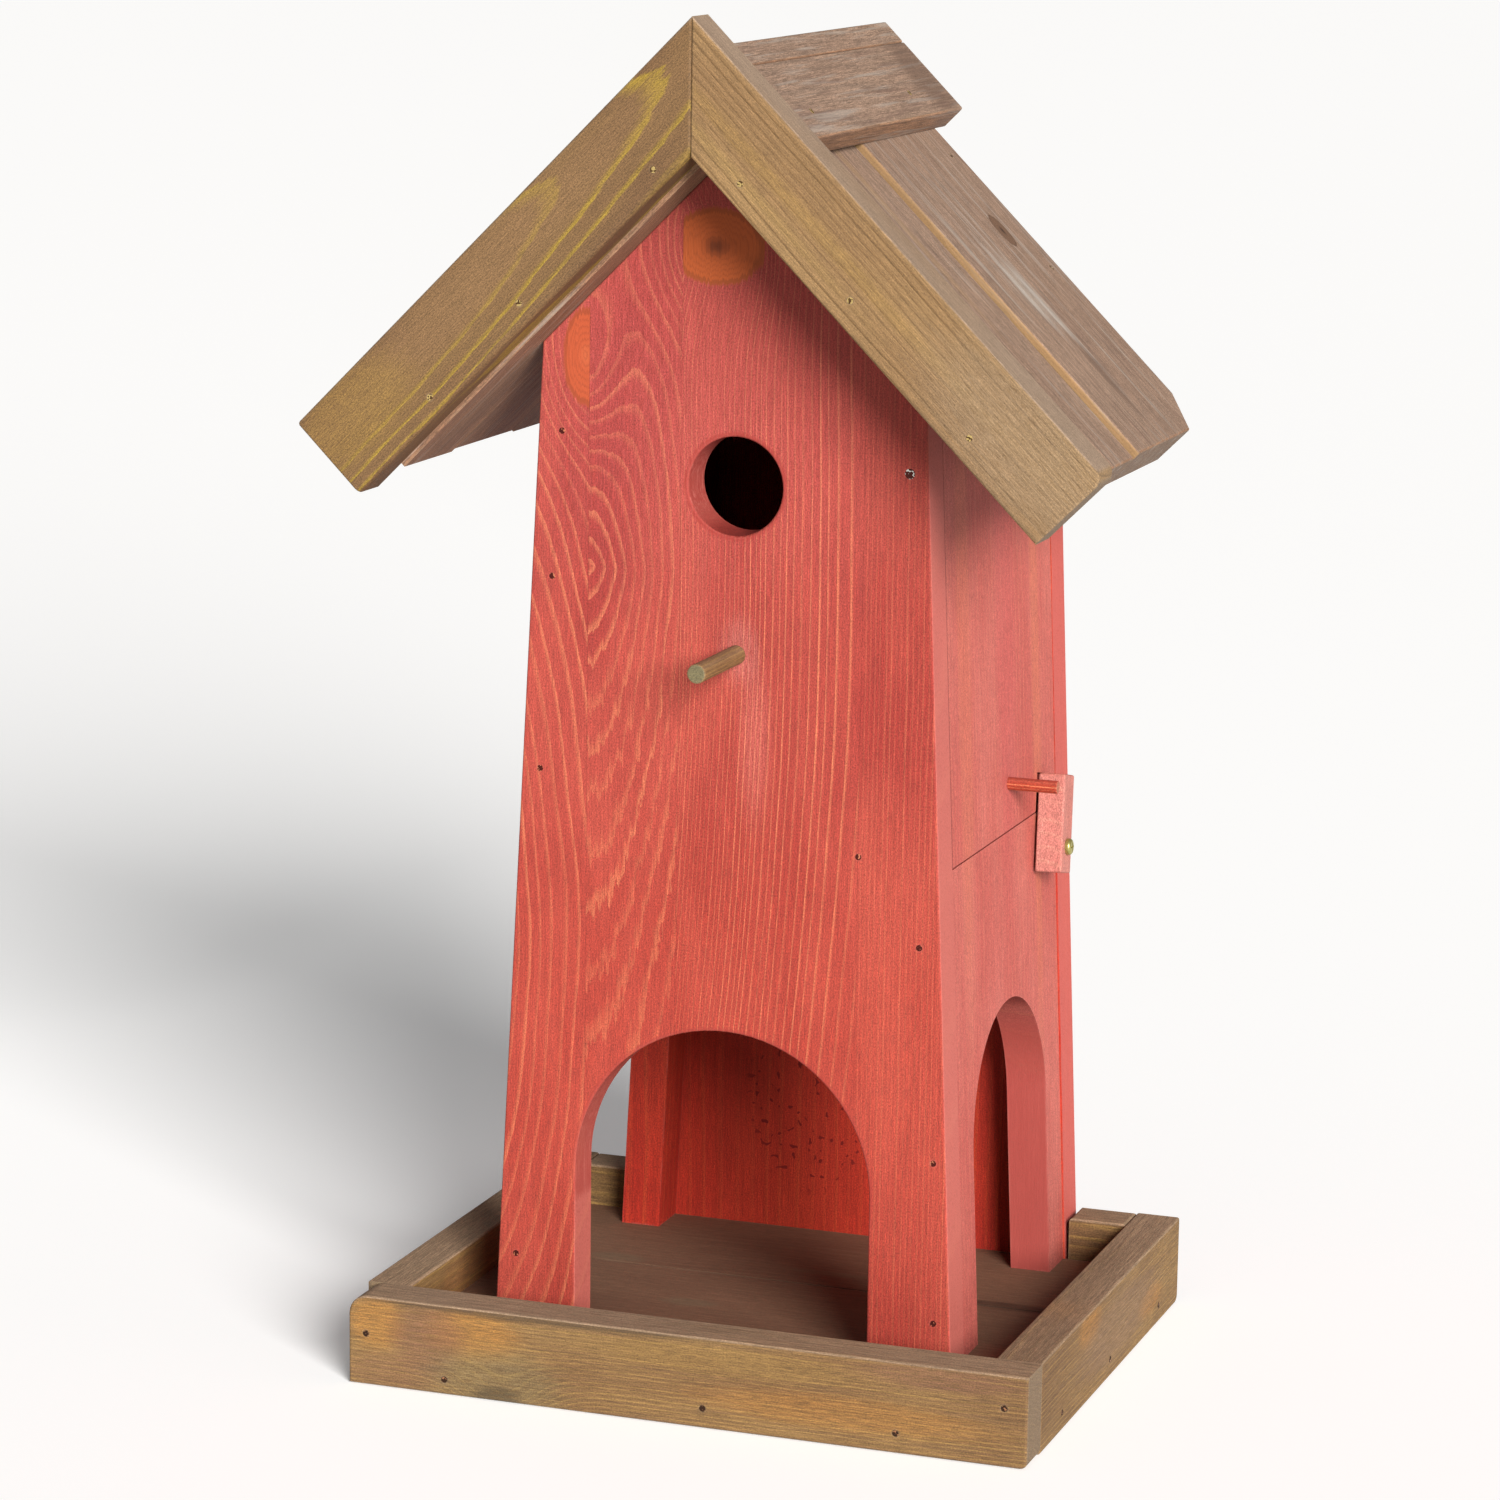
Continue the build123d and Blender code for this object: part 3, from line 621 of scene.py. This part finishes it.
def dress_walls(group, heads):
    rings = dict(pith_across=-190.0, spacing=4.6, wander=3.0, ragged=0.3, sharp=0.6)
    boards = (("back_panel", FRONT, DARK_RED, 12.0), ("nest_floor", SHELF, DARK_RED, 15.0),
              ("left_side_panel", WALL, DARK_RED, 18.0), ("right_side_panel", WALL, PINK, 27.0),
              ("side_door", WALL, PINK, 33.0))
    for node, board, palette, seed in boards:
        wood = Wood("red_" + node, board, palette, seed)
        wood.grain(group, ((WHOLE_BOARD, 0.7, rings),))
        wood.stain()
        if palette is PINK:
            stain_side(wood)
        wood.shade()
        if node == "back_panel":
            wood.pits(2.6, 0.69, (140, 26, 18), (84.0, -18.0, 48.0, 34.0))
            wood.raw_edge_and_shade(SIDE, (214, 108, 98))
        if palette is PINK:
            # Painted shadow on the lower rear leg of the side.
            wood.patch((60.0, 62.0, 60.0, 16.0), (186, 84, 76), 0.6, 1.2)
            # Painted shade on the faces that look forward, such as the rear jamb of the side arch.
            wood.raw_edge_and_shade(FORWARD, (180, 72, 64))
        wood.weather()
        if palette is PINK:
            # Dirt and painted shade: a dark line along the front edge of the side, where the front panel
            # shades it.
            wood.seam("across", -54.0, 2.4, 0.95)
        wood.nail_holes(heads_on(node, heads), 1.5)
        paint(node, wood.done())


# ---------------------------------------------------------------------------------------
# The roof
# ---------------------------------------------------------------------------------------
PALE_SCUFF = (206, 198, 188)


def dress_barges(group, heads):
    rings = dict(pith_across=8.0, pith_depth=28.3, tilt=-0.1, spacing=6.2, wander=2.4, ragged=0.9,
                 sharp=0.66, inner=14.0)
    left = Wood("brown_barge_left", BARGE_LEFT, LEFT_BARGE, 61.0)
    left.grain(group, ((WHOLE_BOARD, 1.0, rings),))
    left.stain()
    left.patch((150.0, 12.0, 120.0, 10.0), (146, 110, 76), 0.5, 1.0)
    left.patch((220.0, 14.0, 30.0, 16.0), (158, 124, 56), 0.5)
    left.shade()
    left.weather()
    left.nail_holes(heads_on("barge_left", heads), 1.5)
    paint("barge_left", left.done())

    rings = dict(pith_across=-70.0, pith_depth=20.0, tilt=-0.02, spacing=3.0, wander=2.5, ragged=0.3)
    right = Wood("brown_barge_right", BARGE_RIGHT, RIGHT_BARGE, 63.0)
    right.grain(group, ((WHOLE_BOARD, 0.9, rings),))
    right.stain()
    right.patch((90.0, 20.0, 90.0, 3.0), (172, 136, 70), 0.35, 1.4)
    right.patch((60.0, 30.0, 60.0, 2.4), (174, 142, 82), 0.35, 1.4)
    right.patch((215.0, 16.0, 50.0, 22.0), (160, 136, 108), 0.6, 1.0)
    right.shade()
    right.weather()
    right.nail_holes(heads_on("barge_right", heads), 1.5)
    paint("barge_right", right.done())


def mark_plank(wood, node):
    """The stains and scuffs that only one board of the roof has."""
    if node == "right_plank_front":
        wood.patch((95.0, -7.0, 55.0, 3.0), (176, 138, 92), 0.5, 1.4)
    if node == "right_plank_rear":
        wood.knot((118.0, 92.0, 9.0, 5.5), (70, 46, 34), (126, 94, 72))
        wood.patch((150.0, 57.0, 18.0, 8.0), (188, 178, 166), 0.55, 1.4)
        wood.patch((146.0, 52.0, 26.0, 2.4), PALE_SCUFF, 0.6, 1.2)
        wood.patch((158.0, 62.0, 20.0, 2.0), PALE_SCUFF, 0.6, 1.2)
        wood.patch((198.0, 60.0, 20.0, 4.0), (96, 72, 60), 0.6, 1.2)
        wood.raw_edge_and_shade(FORWARD, (178, 142, 94), 0.75)
    if node == "ridge_cap_right":
        wood.patch((118.0, 40.0, 16.0, 26.0), (104, 78, 64), 0.65, 1.0)


def dress_planks(group, heads):
    boards = (("right_plank_front", ROOF_RIGHT, 65.0), ("right_plank_rear", ROOF_RIGHT, 67.0),
              ("left_plank_front", ROOF_LEFT, 69.0), ("left_plank_middle", ROOF_LEFT, 71.0),
              ("left_plank_rear", ROOF_LEFT, 73.0), ("ridge_cap_left", CAP_LEFT, 75.0),
              ("ridge_cap_right", CAP_RIGHT, 77.0))
    rings = dict(pith_across=60.0, pith_depth=40.0, tilt=0.03, spacing=3.4, wander=5.0, ragged=0.6)
    bent = {"right_plank_rear": (((118.0, 92.0, 24.0, 11.0), 4.0), ((196.0, 62.0, 30.0, 12.0), 3.0))}
    for node, board, seed in boards:
        wood = Wood("brown_" + node, board, ROOF, seed)
        wood.grain(group, ((WHOLE_BOARD, 0.9, rings),), bent.get(node, ()))
        wood.stain()
        wood.shade()
        wood.weather()
        wood.streaks((184, 172, 160), 0.5, 0.010, 0.22, 0.52, 0.66, 11.0)
        wood.streaks((120, 92, 80), 0.5, 0.014, 0.28, 0.54, 0.68, 23.0)
        mark_plank(wood, node)
        wood.nail_holes(heads_on(node, heads), 1.2)
        paint(node, wood.done(1.8))


# ---------------------------------------------------------------------------------------
# The tray
# ---------------------------------------------------------------------------------------
ORANGE, MAUVE, OLIVE, SOOT = (190, 128, 52), (126, 84, 68), (128, 116, 80), (64, 54, 42)
RIM_STAINS = {
    "front_rim": (
        ((-137.0, 28.0, 12.0, 11.0), ORANGE, 0.5), ((-94.0, 28.0, 20.0, 11.0), ORANGE, 0.5),
        ((-114.0, 24.0, 16.0, 14.0), MAUVE, 0.6), ((-128.0, 8.0, 24.0, 7.0), MAUVE, 0.4),
        ((-84.0, 8.0, 30.0, 14.0), OLIVE, 0.5), ((-82.0, 0.0, 11.0, 6.0), SOOT, 0.7),
        ((-62.0, 38.5, 75.0, 2.6), (84, 66, 50), 0.9), ((70.0, 14.0, 60.0, 7.0), ORANGE, 0.35),
        ((112.0, 34.0, 34.0, 5.0), MAUVE, 0.55), ((20.0, 30.0, 60.0, 6.0), (156, 122, 66), 0.5)),
    "right_rim": (((-28.0, 33.0, 16.0, 8.0), ORANGE, 0.5), ((72.0, 15.0, 18.0, 6.0), ORANGE, 0.5),
                  ((20.0, 20.0, 60.0, 14.0), (146, 116, 92), 0.6)),
    "left_rim": (((0.0, 20.0, 90.0, 18.0), (150, 84, 36), 0.45),),
    "back_rim_right": (((105.0, 10.0, 20.0, 10.0), (92, 78, 56), 0.7),),
}


def dress_rims(group, heads):
    boards = (("front_rim", RIM_X, 41.0), ("left_rim", RIM_Y, 43.0), ("right_rim", RIM_Y, 45.0),
              ("back_rim_left", RIM_X, 47.0), ("back_rim_right", RIM_X, 49.0))
    rings = dict(pith_across=-60.0, pith_depth=-20.0, spacing=1.9, wander=2.0, ragged=0.4)
    bent = {"front_rim": (((-80.0, 0.0, 24.0, 14.0), 7.0),)}
    for node, board, seed in boards:
        wood = Wood("brown_" + node, board, TRAY, seed)
        wood.grain(group, ((WHOLE_BOARD, 0.9, rings),), bent.get(node, ()))
        wood.stain()
        wood.streaks((118, 88, 60), 0.55, 0.02, 0.5, 0.50, 0.66, 7.0)
        for spot, rgb, strength in RIM_STAINS.get(node, ()):
            wood.patch(spot, rgb, strength)
        wood.shade()
        wood.weather()
        wood.nail_holes(heads_on(node, heads), 1.9)
        paint(node, wood.done(1.3))


def dress_bed(group):
    rings = dict(pith_across=-160.0, spacing=4.5, wander=6.0, ragged=0.8)
    scuffs = ((-85.0, 28.0, 12.0, 6.0), (-32.0, -22.0, 12.0, 5.0), (10.0, 40.0, 18.0, 3.0))
    for node, seed in (("floor_board_front", 51.0), ("floor_board_rear", 53.0)):
        wood = Wood("brown_" + node, SHELF, BED, seed)
        wood.grain(group, ((WHOLE_BOARD, 0.8, rings),))
        wood.stain()
        wood.shade()
        wood.weather()
        for spot in scuffs:
            wood.patch(spot, (138, 118, 92), 0.6)
        wood.patch((98.0, 24.0, 26.0, 5.0), (70, 46, 34), 0.8)
        wood.seam("across", 22.0, 0.9, 0.6)
        paint(node, wood.done(1.2))


# ---------------------------------------------------------------------------------------
# Dowels, turn button and metal
# ---------------------------------------------------------------------------------------
PERCH_ROD = ((3.5, -73.2, 317.5), BACK, UP, SIDE)
KNOB_ROD = ((95.0, 30.0, 251.0), SIDE, UP, BACK)


def dress_small(group):
    rings = dict(pith_across=-30.0, spacing=1.6, wander=0.6, ragged=0.2)
    small = (("perch", PERCH_ROD, PERCH, 81.0), ("door_knob", KNOB_ROD, KNOB, 83.0),
             ("turn_latch", WALL, LATCH, 85.0))
    for node, board, palette, seed in small:
        wood = Wood(node + "_wood", board, palette, seed)
        wood.grain(group, ((WHOLE_BOARD, 1.2, rings),))
        wood.stain()
        wood.shade()
        wood.weather()
        paint(node, wood.done())


def dress_metal():
    # The bright colour of each nail and screw is a painted glint; the dark colour is rust with painted
    # shade.
    paint("tower_nails", nail_metal("nail_red", (206, 124, 90), (74, 22, 16), 0.57, 0.0))
    paint("tray_nails", nail_metal("nail_rust", (168, 116, 80), (54, 34, 22), 0.56, 0.1))
    paint("plank_nails", nail_metal("nail_grey", (176, 152, 120), (104, 80, 64), 0.52, 0.2))
    gilt = nail_metal("nail_gilt", (250, 216, 140), (84, 60, 34), 0.46)
    paint("barge_nails", gilt)
    paint("cap_nails", gilt)
    paint("pivot_nails", nail_metal("nail_bright", (244, 240, 230), (80, 34, 28), 0.55, 0.4))
    paint("latch_screw", nail_metal("screw_brass", (206, 196, 120), (120, 106, 60), 0.30))


bpy.context.scene.view_settings.view_transform = "Standard"
make_camera()
make_light()
make_floor()
ring_group = make_ring_group()
nails = nail_heads()
dress_front(ring_group, nails)
dress_walls(ring_group, nails)
dress_barges(ring_group, nails)
dress_planks(ring_group, nails)
dress_rims(ring_group, nails)
dress_bed(ring_group)
dress_small(ring_group)
dress_metal()
